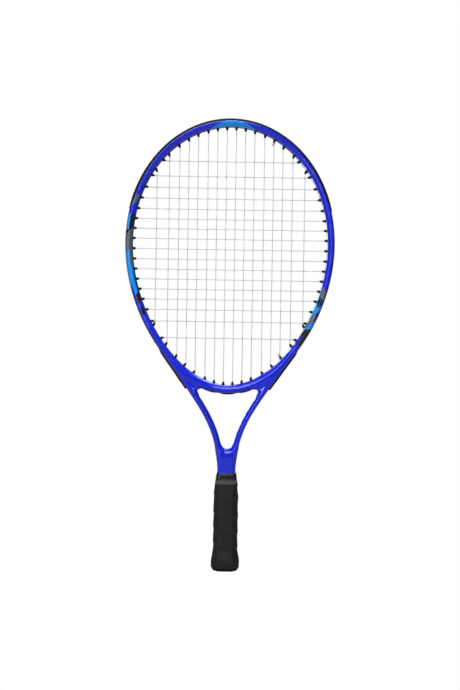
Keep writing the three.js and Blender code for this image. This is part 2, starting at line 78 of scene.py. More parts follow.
def area_light(name, at, aim, size, power):
    data = bpy.data.lights.new(name, "AREA")
    data.shape, data.size, data.size_y = "RECTANGLE", size[0], size[1]
    data.energy = power
    light = bpy.data.objects.new(name, data)
    bpy.context.collection.objects.link(light)
    light.location = at
    light.rotation_mode = "QUATERNION"
    light.rotation_quaternion = (Vector(aim) - Vector(at)).to_track_quat("-Z", "Y")


def camera_only(tree, lit, seen, output):
    """Shows one shader to the camera and another to the light that reaches the racket."""
    ray = tree.nodes.new("ShaderNodeLightPath")
    choice = tree.nodes.new("ShaderNodeMixShader")
    tree.links.new(ray.outputs["Is Camera Ray"], choice.inputs[0])
    tree.links.new(lit.outputs[0], choice.inputs[1])
    tree.links.new(seen.outputs[0], choice.inputs[2])
    tree.links.new(choice.outputs[0], tree.nodes[output].inputs[0])


def make_stage():
    """A white surround, a dim even sky for the light in it, soft boxes, and a pale floor."""
    scene = bpy.context.scene
    scene.view_settings.view_transform = "Standard"
    world = bpy.data.worlds.new("studio")
    world.use_nodes = True
    tree = world.node_tree
    glow = tree.nodes["Background"]
    glow.inputs["Color"].default_value = (0.80, 0.88, 1.0, 1)
    glow.inputs["Strength"].default_value = 0.10
    backdrop = tree.nodes.new("ShaderNodeBackground")
    backdrop.inputs["Color"].default_value = (1, 1, 1, 1)
    camera_only(tree, glow, backdrop, "World Output")
    scene.world = world
    area_light("top_box", (-0.25, -1.0, 2.0), (0, 0, 0.35), (1.4, 1.8), 36)
    area_light("left_strip", (-0.95, -2.1, 0.75), (0, 0, 0.33), (0.25, 1.5), 13)
    area_light("right_strip", (0.95, -2.1, 0.65), (0, 0, 0.33), (0.2, 1.5), 3)
    area_light("back_top_box", (0.4, 1.6, 2.0), (0, 0, 0.35), (1.3, 0.5), 16)
    area_light("back_strip", (-0.9, 2.0, 0.7), (0, 0, 0.33), (0.3, 1.5), 14)

    floor_mesh = bpy.data.meshes.new("floor")
    reach = 2.6
    corners = [(-reach, -reach, 0), (reach, -reach, 0), (reach, reach, 0), (-reach, reach, 0)]
    floor_mesh.from_pydata(corners, [], [(0, 1, 2, 3)])
    floor = bpy.data.objects.new("floor", floor_mesh)
    bpy.context.collection.objects.link(floor)
    pale = bpy.data.materials.new("floor_pale")
    pale.use_nodes = True
    tree = pale.node_tree
    dull = tree.nodes["Principled BSDF"]
    dull.inputs["Base Color"].default_value = (0.45, 0.45, 0.46, 1)
    dull.inputs["Roughness"].default_value = 0.9
    camera_only(tree, dull, tree.nodes.new("ShaderNodeEmission"), "Material Output")
    floor.data.materials.append(pale)


# ---- lines of the frame in the X-Z plane
def unit(v):
    return v / np.linalg.norm(v, axis=-1, keepdims=True)


def round_angles(count):
    return np.arange(count) * 2 * math.pi / count


def hoop_line(t, out=0.0):
    """Points and outward normals of the hoop's centre line, moved outward."""
    t = np.asarray(t, float)
    point = lambda a: np.stack([
        HOOP_HALF_WIDTH * np.cos(a) * (1 + HOOP_EGG * np.sin(a) + HOOP_FLAT * np.sin(a) ** 2),
        HOOP_CENTRE + HOOP_HALF_HEIGHT * np.sin(a)], -1)
    along = unit(point(t + 1e-4) - point(t - 1e-4))
    normal = np.stack([along[..., 1], -along[..., 0]], -1)
    return point(t) + np.asarray(out)[..., None] * normal, normal


def arm_line(share, out=0.0):
    """The right arm's outer line, from the shaft up to the hoop."""
    share = np.asarray(share, float)[..., None]
    foot = np.array((SHAFT_HALF, SHAFT_TOP))
    join = hoop_line(ARM_JOIN, TUBE_HALF)[0]
    a, b = (np.array(p) for p in ARM_PULLS)
    rest = 1 - share
    point = rest**3 * foot + 3 * rest**2 * share * a + 3 * rest * share**2 * b + share**3 * join
    along = unit(3 * rest**2 * (a - foot) + 6 * rest * share * (b - a) + 3 * share**2 * (join - b))
    normal = np.stack([along[..., 1], -along[..., 0]], -1)
    return point + np.asarray(out)[..., None] * normal, normal


def even_line(points, normals, step):
    """The same line with its points spaced evenly."""
    run = np.concatenate([[0], np.cumsum(np.linalg.norm(np.diff(points, axis=0), axis=1))])
    at = np.linspace(0, run[-1], max(2, int(round(run[-1] / step)) + 1))
    sample = lambda values: np.stack([np.interp(at, run, values[:, k]) for k in (0, 1)], -1)
    return sample(points), unit(sample(normals))


def rim_line(step, tail_share=0.0):
    """The outer line up the right arm, over the hoop and down the left arm."""
    arm, arm_normal = arm_line(np.linspace(tail_share, 1, 120))
    hoop, hoop_normal = hoop_line(np.linspace(ARM_JOIN, math.pi / 2, 400)[1:], TUBE_HALF)
    points, normals = np.vstack([arm, hoop]), np.vstack([arm_normal, hoop_normal])
    flip = np.array((-1, 1))
    points = np.vstack([points, (points * flip)[-2::-1]])
    normals = np.vstack([normals, (normals * flip)[-2::-1]])
    return even_line(points, normals, step)


def bridge_line(step, reach=0.31, out=BRIDGE_DROP):
    """The bridge's underside from right to left."""
    points, normals = hoop_line(-math.pi / 2 + np.linspace(reach, -reach, 120), out)
    return even_line(points, normals, step)


# ---- meshes
def make_object(name, vertices, faces):
    """A mesh object from points in millimetres and an array of faces with the same number of corners."""
    vertices, faces = np.asarray(vertices, np.float32) * MM, np.asarray(faces, np.int32)
    mesh = bpy.data.meshes.new(name)
    mesh.vertices.add(len(vertices))
    mesh.vertices.foreach_set("co", vertices.ravel())
    corners = faces.shape[1]
    mesh.loops.add(faces.size)
    mesh.loops.foreach_set("vertex_index", faces.ravel())
    mesh.polygons.add(len(faces))
    mesh.polygons.foreach_set("loop_start", np.arange(0, faces.size, corners, dtype=np.int32))
    mesh.polygons.foreach_set("use_smooth", np.full(len(faces), True))
    mesh.update(calc_edges=True)
    mesh.validate()
    made = bpy.data.objects.new(name, mesh)
    bpy.context.collection.objects.link(made)
    return made


def ring_faces(rings, sides, loop=False):
    """Quads between rings of points; loop joins the last ring to the first."""
    r = np.arange(rings if loop else rings - 1)[:, None]
    s = np.arange(sides)[None, :]
    low, high = r * sides, ((r + 1) % rings) * sides
    after = (s + 1) % sides
    return np.stack([low + s, low + after, high + after, high + s], -1).reshape(-1, 4)


def capped_sweep(rings):
    """Vertices and quads of rings (count, sides, 3) with a fan of thin quads closing each end."""
    count, sides, _ = rings.shape
    points, faces = [rings.reshape(-1, 3)], [ring_faces(count, sides)]
    s, pair = np.arange(sides), np.arange(0, sides, 2)
    after = (s + 1) % sides
    total = count * sides
    for ring, turned in ((0, True), (count - 1, False)):
        centre = rings[ring].mean(0)
        points += [centre + (rings[ring] - centre) * CAP_SHARE, centre[None]]
        edge = np.stack([ring * sides + s, ring * sides + after, total + after, total + s], -1)
        fan = np.stack([total + pair, total + (pair + 1) % sides, total + (pair + 2) % sides,
                        np.full(len(pair), total + sides)], -1)
        faces += [quads[:, ::-1] if turned else quads for quads in (edge, fan)]
        total += sides + 1
    return np.vstack(points), np.vstack(faces)


def sections_to_rings(points, normals, section):
    """Places a section of (out, across) pairs, one per station, along a line."""
    n, y = section[..., 0], section[..., 1]
    x, z = (points[:, None, k] + n * normals[:, None, k] for k in (0, 1))
    return np.stack([x, y, z], -1)


def turn_out(made):
    """Flips a closed mesh whose faces point inward."""
    mesh = made.data
    co = np.empty(len(mesh.vertices) * 3, np.float32)
    mesh.vertices.foreach_get("co", co)
    co = co.reshape(-1, 3)
    mesh.calc_loop_triangles()
    tri = np.empty(len(mesh.loop_triangles) * 3, np.int32)
    mesh.loop_triangles.foreach_get("vertices", tri)
    a, b, c = (co[tri.reshape(-1, 3)[:, k]] for k in range(3))
    if np.einsum("ij,ij->i", a, np.cross(b, c)).sum() < 0:
        mesh.flip_normals()
    return made


# ---- the one-piece frame as a smooth solid field
def signed_distance(px, pz, points, normals):
    """Signed distance from plan points to a line of close stations, positive on the normals' side."""
    out = np.empty(px.size)
    tangents = np.stack([-normals[:, 1], normals[:, 0]], -1)
    half_step = np.linalg.norm(points[1] - points[0])
    flat_x, flat_z = px.ravel(), pz.ravel()
    for start in range(0, flat_x.size, 4000):
        part = slice(start, start + 4000)
        dx = flat_x[part, None] - points[None, :, 0]
        dz = flat_z[part, None] - points[None, :, 1]
        near = np.argmin(dx * dx + dz * dz, axis=1)
        row = np.arange(len(near))
        dx, dz = dx[row, near], dz[row, near]
        across = dx * normals[near, 0] + dz * normals[near, 1]
        past = np.maximum(np.abs(dx * tangents[near, 0] + dz * tangents[near, 1]) - half_step, 0)
        out[part] = np.hypot(across, past) * np.where(across < 0, -1, 1)
    return out.reshape(px.shape)


def web_outline():
    """The solid web between the right arm and the bridge, with its rounded corner in the throat."""
    arm = arm_line(np.linspace(0, 1, 60), -ARM_WIDTH / 2)[0]
    inner = arm_line(np.linspace(0, 1, 400), -ARM_WIDTH)[0]
    start = inner[np.argmax(inner[:, 1] > WEB_CORNER)]
    hoop = hoop_line(np.linspace(ARM_JOIN, -math.pi / 2 + 0.2, 40))[0]
    under = hoop_line(np.linspace(-math.pi / 2 + 0.2, -math.pi / 2 + 0.32, 40), BRIDGE_DROP)[0]
    end = under[np.argmin(np.abs(under[:, 0] - BRIDGE_HALF))]
    pull = np.array((start[0] + 5.5, end[1] + 1.5))
    s = np.linspace(0, 1, 9)[:, None]
    corner = (1 - s) ** 2 * end + 2 * s * (1 - s) * pull + s**2 * start
    hoop = hoop[hoop[:, 0] > end[0]]
    arm = arm[arm[:, 1] > start[1] - 2]
    return [tuple(p) for p in np.vstack([arm, hoop, corner])]


def polygon_distance(px, py, corners):
    """Signed distance to a simple polygon, negative inside."""
    best = np.full(px.shape, 1e9)
    sign = np.ones(px.shape)
    for (ax, ay), (bx, by) in zip(corners, corners[1:] + corners[:1]):
        ex, ey, wx, wy = bx - ax, by - ay, px - ax, py - ay
        share = np.clip((wx * ex + wy * ey) / max(ex * ex + ey * ey, 1e-9), 0, 1)
        best = np.minimum(best, (wx - ex * share) ** 2 + (wy - ey * share) ** 2)
        above, below, left = py >= ay, py < by, ex * wy > ey * wx
        sign = np.where((above & below & left) | (~above & ~below & ~left), -sign, sign)
    return sign * np.sqrt(best)


class Plan:
    """Distances to the frame's lines, as plan grids of the right half that are read between their points."""

    def __init__(self):
        self.x, self.z = np.arange(-3, 142.0), np.arange(-2, 592.0)
        px, pz = np.meshgrid(self.x, self.z, indexing="ij")
        hoop = even_line(*hoop_line(np.linspace(-math.pi / 2 - 0.1, math.pi / 2 + 0.1, 900)), 0.6)
        self.hoop = signed_distance(px, pz, *hoop)
        arm, arm_normal = arm_line(np.linspace(0, 1, 300), -ARM_WIDTH / 2)
        foot = np.stack([np.full(90, arm[0, 0]), np.linspace(-20, SHAFT_TOP - 1, 90)], -1)
        beyond_join = np.linspace(ARM_JOIN, ARM_JOIN + 0.35, 80)[1:]
        follow, follow_normal = hoop_line(beyond_join, TUBE_HALF - ARM_WIDTH / 2)
        line = np.vstack([foot, arm, follow])
        normal = np.vstack([np.tile((1.0, 0.0), (90, 1)), arm_normal, follow_normal])
        self.arm = signed_distance(px, pz, *even_line(line, normal, 0.6))
        outer = arm_line(np.linspace(0, 1, 300))[0]
        self.outer_x, self.outer_z = outer[:, 0], outer[:, 1]
        rim, rim_normal = rim_line(0.6)
        right = rim[:, 0] > -3
        self.rim = signed_distance(px, pz, rim[right], rim_normal[right])
        self.web = polygon_distance(px, pz, web_outline())

    def read(self, grid, x, z):
        i = np.clip(np.abs(x) - self.x[0], 0, len(self.x) - 1.001)
        k = np.clip(z - self.z[0], 0, len(self.z) - 1.001)
        i0, k0 = i.astype(int), k.astype(int)
        u, w = i - i0, k - k0
        low = grid[i0, k0] * (1 - w) + grid[i0, k0 + 1] * w
        high = grid[i0 + 1, k0] * (1 - w) + grid[i0 + 1, k0 + 1] * w
        return low * (1 - u) + high * u

    def half_width(self, z):
        return np.interp(z, self.outer_z, self.outer_x)


def ramp(x, low, high):
    s = np.clip((x - low) / (high - low), 0, 1)
    return s * s * (3 - 2 * s)


def soft_min(a, b, k):
    k = np.maximum(k, 1e-6)
    h = np.clip(0.5 + 0.5 * (b - a) / k, 0, 1)
    return b + (a - b) * h - k * h * (1 - h)


def soft_max(a, b, k):
    return -soft_min(-a, -b, k)


def nose_power(z):
    """How blunt the tube's nose is: a ridge on the arms and the bridge, rounder over the hoop."""
    return 1.62 + 0.4 * ramp(z, 275, 335)


def tube_field(across, y, half, depth, lean, power):
    """A ridged tube: its nose leans outward by lean."""
    level = np.abs(y) / depth
    across = np.sqrt((across - lean * level**2) ** 2 + 0.12)
    return (((across / half) ** power + level**2.4) ** (1 / power) - 1) * half


PLAN = Plan()
TAIL_BOTTOM = arm_line(TAIL_SHARE)[0][1]
GROOVE_CUT, GROOVE_HALF, BRIDGE_GROOVE = 3.0, 3.4, 34.5
WEB_DEPTH = 8.4
SCOOP = 6.2


def frame_field(x, y, z):
    """Negative inside the frame."""
    hoop_n = PLAN.read(PLAN.hoop, x, z)
    arm_n = PLAN.read(PLAN.arm, x, z)
    on_bridge = 1 - ramp(z, 246, 282)
    extra = (BRIDGE_DROP - TUBE_HALF) / 2 * on_bridge
    power = nose_power(z)
    lean = 0.15 + 1.0 * on_bridge + 0.45 * ramp(z, 360, 470)
    hoop = tube_field(hoop_n - extra, y, TUBE_HALF + extra, TUBE_DEPTH, lean, power)
    arm = tube_field(arm_n, y, ARM_WIDTH / 2, TUBE_DEPTH, 0.2, power)
    apart = np.abs(hoop_n - arm_n)
    body = soft_min(hoop, arm, 5 * np.clip((apart - 1.5) / 8, 0, 1))
    web = soft_max(PLAN.read(PLAN.web, x, z), np.abs(y) - WEB_DEPTH, 3.0)
    body = soft_min(body, web, 3.2)

    half = PLAN.half_width(z)
    level = np.abs(y) / TUBE_DEPTH
    boxy = 5 - 2.6 * ramp(z, 140, 163)
    shaft = (((np.abs(x) / half) ** boxy + level**boxy) ** (1 / boxy) - 1) * half
    centre = THROAT_FLOOR + THROAT_RADIUS
    shaft = soft_max(shaft, z - centre + 1, 6)
    body = soft_min(body, shaft, 2.0)
    from_slot = np.hypot(x, np.minimum(z - centre, 0))
    bevel = SCOOP * (1 - ramp(z, centre - 2, centre + 14))
    above = np.maximum(z - centre, 0)
    scoop = THROAT_RADIUS + 0.2 * above**2 / (above + 3) + bevel * level**3.5 - from_slot
    body = np.where(z < centre + 45, soft_max(body, scoop, 1.2), body)
    body = np.maximum(body, SHAFT_FOOT - z)

    outer_groove = np.minimum(PLAN.read(PLAN.rim, x, z) + GROOVE_CUT, z - TAIL_BOTTOM - 1.5)
    under_groove = np.minimum(hoop_n - BRIDGE_DROP + GROOVE_CUT, BRIDGE_GROOVE - np.abs(x))
    under_groove = np.minimum(under_groove, 1.5 - (hoop_n - BRIDGE_DROP))
    under_groove = np.minimum(under_groove, 250 - z)
    groove = np.minimum(np.maximum(outer_groove, under_groove), GROOVE_HALF - np.abs(y))
    body = np.maximum(body, groove)

    spigot = ((np.abs(x) / SPIGOT_HALF) ** 5 + (np.abs(y) / SPIGOT_DEPTH) ** 5) ** 0.2
    spigot = (spigot - 1) * SPIGOT_DEPTH
    spigot = np.maximum(spigot, np.maximum(z - SHAFT_FOOT - 1, SPIGOT_BOTTOM - z))
    return np.minimum(body, spigot)


def surface_net(field, low, high, step):
    """Vertices and quads of a field's zero surface: one vertex in each grid cell that the surface crosses."""
    axes = [np.arange(a, b + step, step) for a, b in zip(low, high)]
    values = np.empty([len(a) for a in axes], np.float32)
    for i, x in enumerate(axes[0]):
        y, z = np.meshgrid(axes[1], axes[2], indexing="ij")
        values[i] = field(np.full(y.shape, x), y, z)
    inside = values < 0
    nx, ny, nz = (size - 1 for size in inside.shape)
    count = sum(inside[i:nx + i, j:ny + j, k:nz + k].astype(np.int8)
                for i in (0, 1) for j in (0, 1) for k in (0, 1))
    crossed = (count > 0) & (count < 8)
    number = np.full(crossed.shape, -1)
    number[crossed] = np.arange(crossed.sum())
    vertices = (np.argwhere(crossed) + 0.5) * step + np.array(low)
    faces = []
    for axis in range(3):
        moved = np.moveaxis(inside, axis, 0)
        cells = np.moveaxis(number, axis, 0)
        change = moved[:-1, 1:-1, 1:-1] != moved[1:, 1:-1, 1:-1]
        i, j, k = np.nonzero(change)
        enters = moved[i, j + 1, k + 1]
        quad = np.stack([cells[i, j, k], cells[i, j + 1, k], cells[i, j + 1, k + 1], cells[i, j, k + 1]], -1)
        turned = enters if axis != 1 else ~enters
        faces.append(np.where(turned[:, None], quad, quad[:, ::-1]))
    return vertices, np.vstack(faces)


SHADING_ROUNDS = 24


def settle(vertices, faces, field, rounds):
    """Evens the quads out and puts every vertex on the field's zero surface."""
    def gradient(p, e=0.05):
        return np.stack([field(*(p + d).T) - field(*(p - d).T) for d in np.eye(3) * e], -1) / (2 * e)

    def neighbour_sum(values):
        return np.stack([np.bincount(edges[:, 0], values[edges[:, 1], k], len(values)) for k in range(3)], -1)

    edges = np.vstack([faces[:, [k, (k + 1) % 4]] for k in range(4)])
    degree = np.bincount(edges[:, 0], minlength=len(vertices))
    for turn in range(rounds):
        if turn < rounds - 2:
            vertices = vertices + 0.6 * (neighbour_sum(vertices) / degree[:, None] - vertices)
        g = gradient(vertices)
        move = field(*vertices.T)[:, None] * g / np.maximum((g * g).sum(1, keepdims=True), 0.02)
        length = np.linalg.norm(move, axis=1, keepdims=True)
        vertices = vertices - move * np.minimum(1, 0.8 / np.maximum(length, 1e-9))
    normals = unit(gradient(vertices, 0.45))
    # The shading follows the neighbours' mean, except at edges: few over the hoop's groove, more below it.
    crisp = 0.80 + 0.165 * ramp(vertices[:, 2:], 252, 270)
    for _ in range(SHADING_ROUNDS):
        mean = unit(neighbour_sum(normals))
        even = (mean * normals).sum(1, keepdims=True) > crisp
        normals = unit(np.where(even, normals + 2 * mean, normals))
    return vertices, normals


def finish_piece(made, slot, *nodes, body="root"):
    made.data.materials.append(LOOKS[slot])
    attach(made, body)
    if nodes:
        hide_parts(*nodes)


def sharpen(made, degrees=38):
    made.data.set_sharp_from_angle(angle=math.radians(degrees))
    return made


# ---- materials
class Look:
    """A material's node tree, built by short calls."""

    def __init__(self, name, **settings):
        self.material = bpy.data.materials.new(name)
        self.material.use_nodes = True
        self.tree = self.material.node_tree
        self.shader = self.tree.nodes["Principled BSDF"]
        for key, value in settings.items():
            self.shader.inputs[key.replace("_", " ")].default_value = value

    def add(self, kind, inputs=(), output=0, **settings):
        made = self.tree.nodes.new("ShaderNode" + kind)
        for key, value in settings.items():
            setattr(made, key, value)
        for key, value in dict(inputs).items():
            if isinstance(value, bpy.types.NodeSocket):
                self.tree.links.new(value, made.inputs[key])
            else:
                made.inputs[key].default_value = value
        return made.outputs[output]

    def math(self, operation, *values):
        return self.add("Math", dict(enumerate(values)), operation=operation)

    def value_range(self, value, low, high, to_low=0.0, to_high=1.0):
        return self.add("MapRange", {0: value, 1: low, 2: high, 3: to_low, 4: to_high})

    def mix(self, share, a, b):
        """Colours a and b mixed by share."""
        return self.add("Mix", {0: share, 6: a, 7: b}, output=2, data_type="RGBA")

    def place(self, scale=(1, 1, 1)):
        """The point in millimetres, stretched."""
        at = self.add("TexCoord", output=3)
        return self.add("VectorMath", {0: at, 1: tuple(1000 * s for s in scale)}, operation="MULTIPLY")

    def noise(self, size, scale=(1, 1, 1), detail=3.0, roughness=0.55):
        inputs = {"Vector": self.place(scale), "Scale": 1 / size, "Detail": detail, "Roughness": roughness}
        return self.add("TexNoise", inputs)

    def mottle(self, size, low, high, first, second, **noise):
        """Two colours in soft patches about so many millimetres across."""
        return self.mix(self.value_range(self.noise(size, **noise), low, high), first, second)

    def attribute(self, name):
        return self.add("Attribute", output=2, attribute_name=name)

    def edges(self, low, high):
        """1 where the surface bends outward."""
        return self.value_range(self.add("NewGeometry", output=7), low, high)

    def done(self, color, rough, low, high, height, strength, distance_mm):
        """Joins the colour, a roughness that runs from low to high, and a bump to the shader."""
        rough = self.value_range(rough, 0.3, 0.7, low, high)
        bump = self.add("Bump", {"Height": height, "Strength": strength, "Distance": distance_mm * MM})
        for key, value in (("Base Color", color), ("Roughness", rough), ("Normal", bump)):
            self.tree.links.new(value, self.shader.inputs[key])
        return self.material


ROYAL, SKY = (0.008, 0.020, 0.76, 1), (0.0, 0.30, 0.95, 1)
ASH, JET = (0.105, 0.135, 0.16, 1), (0.006, 0.006, 0.007, 1)
HATCH_LINES, HATCH_SLOPE = (430.6, 424.4), 1.15


def lacquer_look():
    look = Look("frame_lacquer", Coat_Weight=0.9, Coat_Roughness=0.07, Specular_IOR_Level=0.08)
    drift = look.noise(26, detail=2)
    color = look.mix(look.value_range(drift, 0.35, 0.65), ROYAL, tuple(0.86 * c for c in ROYAL[:3]) + (1,))
    for name, paint in (("paint_ash", ASH), ("paint_sky", SKY), ("paint_jet", JET)):
        inside = look.value_range(look.attribute(name), 0.12, -0.12)
        if name == "paint_ash":
            run = look.attribute("hatch")
            for centre in HATCH_LINES:
                line = look.value_range(look.math("ABSOLUTE", look.math("SUBTRACT", run, centre)), 0.15, 0.35)
                inside = look.math("MULTIPLY", inside, look.value_range(line, 0, 1, 0.45, 1))
        color = look.mix(inside, color, paint)
    flake = look.noise(0.35, detail=1)
    color = look.mix(look.value_range(flake, 0.62, 0.75, 0, 0.05), color, (0.35, 0.45, 1.0, 1))
    scuff = look.noise(3.5, (1, 1, 0.35), detail=5)
    worn = look.math("MULTIPLY", look.edges(0.58, 0.66), look.value_range(scuff, 0.52, 0.66))
    color = look.mix(look.math("MULTIPLY", worn, 0.1), color, (0.30, 0.34, 0.55, 1))
    return look.done(color, look.noise(9, detail=4), 0.19, 0.30, look.noise(1.6, detail=1), 0.05, 0.06)


def nylon_look():
    look = Look("black_nylon", Specular_IOR_Level=0.22)
    grain = look.noise(0.5, detail=3)
    color = look.mottle(7, 0.3, 0.7, (0.0055, 0.0055, 0.006, 1), (0.011, 0.011, 0.012, 1))
    patchy = look.edges(0.52, 0.58), look.value_range(look.noise(2.2, detail=5), 0.45, 0.62)
    scuff = look.math("MULTIPLY", *patchy)
    color = look.mix(look.math("MULTIPLY", scuff, 0.3), color, (0.05, 0.05, 0.053, 1))
    return look.done(color, grain, 0.38, 0.52, grain, 0.25, 0.08)


def string_look():
    look = Look("string", Specular_IOR_Level=0.5, Coat_Weight=0.4, Coat_Roughness=0.15,
                Subsurface_Weight=0.15)
    look.shader.inputs["Subsurface Radius"].default_value = (0.001, 0.001, 0.001)
    color = look.mottle(5, 0.35, 0.65, (0.70, 0.71, 0.71, 1), (0.80, 0.80, 0.79, 1))
    # Painted shade: the string is darkened where it crosses another string.
    crossing_shade = look.value_range(look.attribute("crossing"), 0.2, 1.0)
    color = look.mix(look.math("MULTIPLY", crossing_shade, 0.55), color, (0.30, 0.31, 0.32, 1))
    filament = look.noise(0.22, detail=2)
    return look.done(color, filament, 0.28, 0.42, filament, 0.2, 0.04)


def grip_look():
    look = Look("grip_tape", Specular_IOR_Level=0.32)
    pebble = look.add("TexVoronoi", {"Vector": look.place(), "Scale": 1 / 0.85, "Randomness": 0.9})
    grain = look.noise(0.3, detail=4)
    height = look.math("ADD", look.math("MULTIPLY", pebble, 0.7), look.math("MULTIPLY", grain, 0.5))
    color = look.mottle(6, 0.3, 0.7, (0.0075, 0.0075, 0.008, 1), (0.0125, 0.0125, 0.0135, 1), detail=5)
    color = look.mix(look.value_range(pebble, 0.35, 0.75, 0, 0.5), color, (0.004, 0.004, 0.0045, 1))
    # Painted highlight: a lighter band along each turn's lapping edge.
    lip = look.value_range(look.attribute("lip"), 0.3, 0.9)
    color = look.mix(look.math("MULTIPLY", lip, 0.6), color, (0.04, 0.04, 0.043, 1))
    return look.done(color, look.noise(4, detail=4), 0.48, 0.62, height, 0.45, 0.12)


def finishing_look():
    look = Look("finishing_tape", Specular_IOR_Level=0.35)
    inputs = {"Vector": look.place(), "Scale": 0.55, "Distortion": 0.6}
    rows = look.add("TexWave", inputs, bands_direction="Z")
    speck = look.noise(0.5, detail=4)
    color = look.mix(look.value_range(speck, 0.38, 0.62), (0.03, 0.03, 0.032, 1), (0.11, 0.112, 0.118, 1))
    return look.done(color, speck, 0.5, 0.7, look.math("ADD", rows, speck), 0.4, 0.08)


def rubber_look():
    look = Look("collar_rubber", Specular_IOR_Level=0.5)
    color = look.mottle(4, 0.35, 0.65, (0.004, 0.004, 0.0045, 1), (0.008, 0.008, 0.009, 1))
    patchy = look.edges(0.52, 0.60), look.value_range(look.noise(1.5, detail=4), 0.45, 0.65)
    dust = look.math("MULTIPLY", *patchy)
    color = look.mix(look.math("MULTIPLY", dust, 0.3), color, (0.06, 0.06, 0.062, 1))
    return look.done(color, look.noise(2.5, detail=4), 0.2, 0.34, look.noise(0.9), 0.08, 0.1)


def foam_look():
    look = Look("handle_foam", Specular_IOR_Level=0.3)
    cells = look.add("TexVoronoi", {"Vector": look.place(), "Scale": 1 / 0.6})
    color = look.mix(look.value_range(cells, 0.1, 0.6), (0.075, 0.075, 0.08, 1), (0.025, 0.025, 0.027, 1))
    return look.done(color, look.noise(5, detail=4), 0.75, 0.95, cells, 0.5, 0.2)


def steel_look():
    look = Look("staple_steel", Metallic=1.0)
    brush = look.noise(0.12, (0.08, 1, 1), detail=3)
    color = look.mottle(1.5, 0.35, 0.65, (0.45, 0.46, 0.48, 1), (0.58, 0.59, 0.60, 1))
    return look.done(color, brush, 0.26, 0.42, brush, 0.15, 0.03)


# ---- painted patches
# Corners are (across, height): across the tube from the hoop's centre line, outward positive, in millimetres.
LEFT_PATCHES = {
    "paint_ash": [
        [(3, 480.5), (-2.5, 488.5), (-2.5, 478), (3.4, 469.5)],
        [(6, 431.5), (1, 437), (-6, 446), (-6, 391), (-0.5, 397.5), (-0.4, 415.3), (6, 409.5)],
    ],
    "paint_sky": [
        [(4.2, 460.3), (1.1, 460.3), (1.1, 441.8), (4.2, 439)],
        [(6, 409.5), (-0.4, 415.3), (-0.4, 397.3), (-2.6, 393.5), (-2.6, 360), (1.9, 355.2), (1.9, 366),
         (6, 374)],
    ],
    "paint_jet": [
        [(1.1, 460.3), (-6, 460.3), (-6, 446), (1, 437), (6, 431.5), (6, 437.5), (1.1, 441.8)],
        [(-2.6, 392), (-6, 390), (-6, 357), (-2.6, 360)],
        [(1.7, 355), (-6, 362), (-6, 351), (1.7, 344)],
        [(1.9, 337.5), (-2.4, 342.3), (-2.4, 333), (1.9, 328)],
    ],
}
RIGHT_PATCHES = {
    "paint_ash": [
        [(-2.6, 369.5), (6, 358.5), (6, 350), (3, 351), (-2.6, 356)],
        [(-6, 343), (-2.7, 339.5), (-1.5, 337), (-6, 331)],
        [(-6, 328.5), (1.5, 334), (2.4, 324), (-6, 313.8)],
    ],
    "paint_sky": [
        [(-6, 372), (-3, 369), (-3, 349), (0.5, 341), (4, 345), (6, 346), (6, 339),
         (2.5, 336.5), (-6, 328), (-6, 331), (-2.2, 337), (-4.6, 345)],
        [(-5, 314), (2.6, 314), (6, 314), (6, 327), (2.4, 323.5)],
    ],
    "paint_jet": [
        [(-3, 356.5), (2.3, 351.2), (2.3, 344.8), (0.2, 341.6), (-1.5, 343.5), (-3, 349)],
        [(1.2, 334.5), (6, 339), (6, 326), (2.6, 324)],
        # Black paint across the tube and down its middle to 293; the lower outer corner, from 1.7 across out
        # to 6, is painted shade of the dark outer wall.
        [(-6, 314), (6, 314), (6, 293), (-1.3, 293), (-1.3, 304.5), (-6, 312)],
    ],
}
# The patch over the top: corners are (x, across).
TOP_PATCH = [(-29, -6), (-22, -2.7), (-15, -0.6), (-7.5, 1.6), (-1, 3.4), (1, 3.4), (7.5, 2.6), (15, 0.8),
             (23, -1.6), (35, -6)]
PATCH_FOOT, TOP_PATCH_FOOT = 285, 560
PATCH_EDGE, PATCH_INWARD = 6, 0.6
LEFT_DROP, RIGHT_DROP = 1.8, 0.7


def add_attribute(made, name, values):
    made.data.attributes.new(name, "FLOAT", "POINT").data.foreach_set("value", np.asarray(values, np.float32))


def placed(corners, drop):
    """A patch moved inward and down from its sketched corners. Those past the tube's edge only move down."""
    return [(n - PATCH_INWARD * (abs(n) < PATCH_EDGE), z - drop) for n, z in corners]


def paint_frame(made, vertices):
    """Each colour block as an attribute: the distance to its nearest edge, negative inside."""
    x, z = vertices[:, 0], vertices[:, 2]
    across = PLAN.read(PLAN.hoop, x, z)
    far = np.full(x.shape, 20.0)
    for name in ("paint_ash", "paint_sky", "paint_jet"):
        nearest = far
        for side, patches, drop in ((-1, LEFT_PATCHES, LEFT_DROP), (1, RIGHT_PATCHES, RIGHT_DROP)):
            for corners in patches[name]:
                here = polygon_distance(across, z, placed(corners, drop))
                nearest = np.minimum(nearest, np.where((x * side > 0) & (z > PATCH_FOOT), here, far))
        if name == "paint_sky":
            here = polygon_distance(x, across, TOP_PATCH)
            nearest = np.minimum(nearest, np.where(z > TOP_PATCH_FOOT, here, far))
        add_attribute(made, name, nearest)
    add_attribute(made, "hatch", np.where(x < 0, z + HATCH_SLOPE * across, 0))


def make_frame():
    step = 1.0
    low, high = (-139.3, -12.3, 2.2), (139.3, 12.3, 587.0)
    vertices, faces = surface_net(frame_field, low, high, step)
    vertices, normals = settle(vertices, faces, frame_field, rounds=6)
    made = turn_out(make_object("racket_frame", vertices, faces))
    made.data.normals_split_custom_set_from_vertices(normals.astype(np.float32))
    paint_frame(made, vertices)
    finish_piece(made, "frame_lacquer", "frame_tube", "throat_bridge")


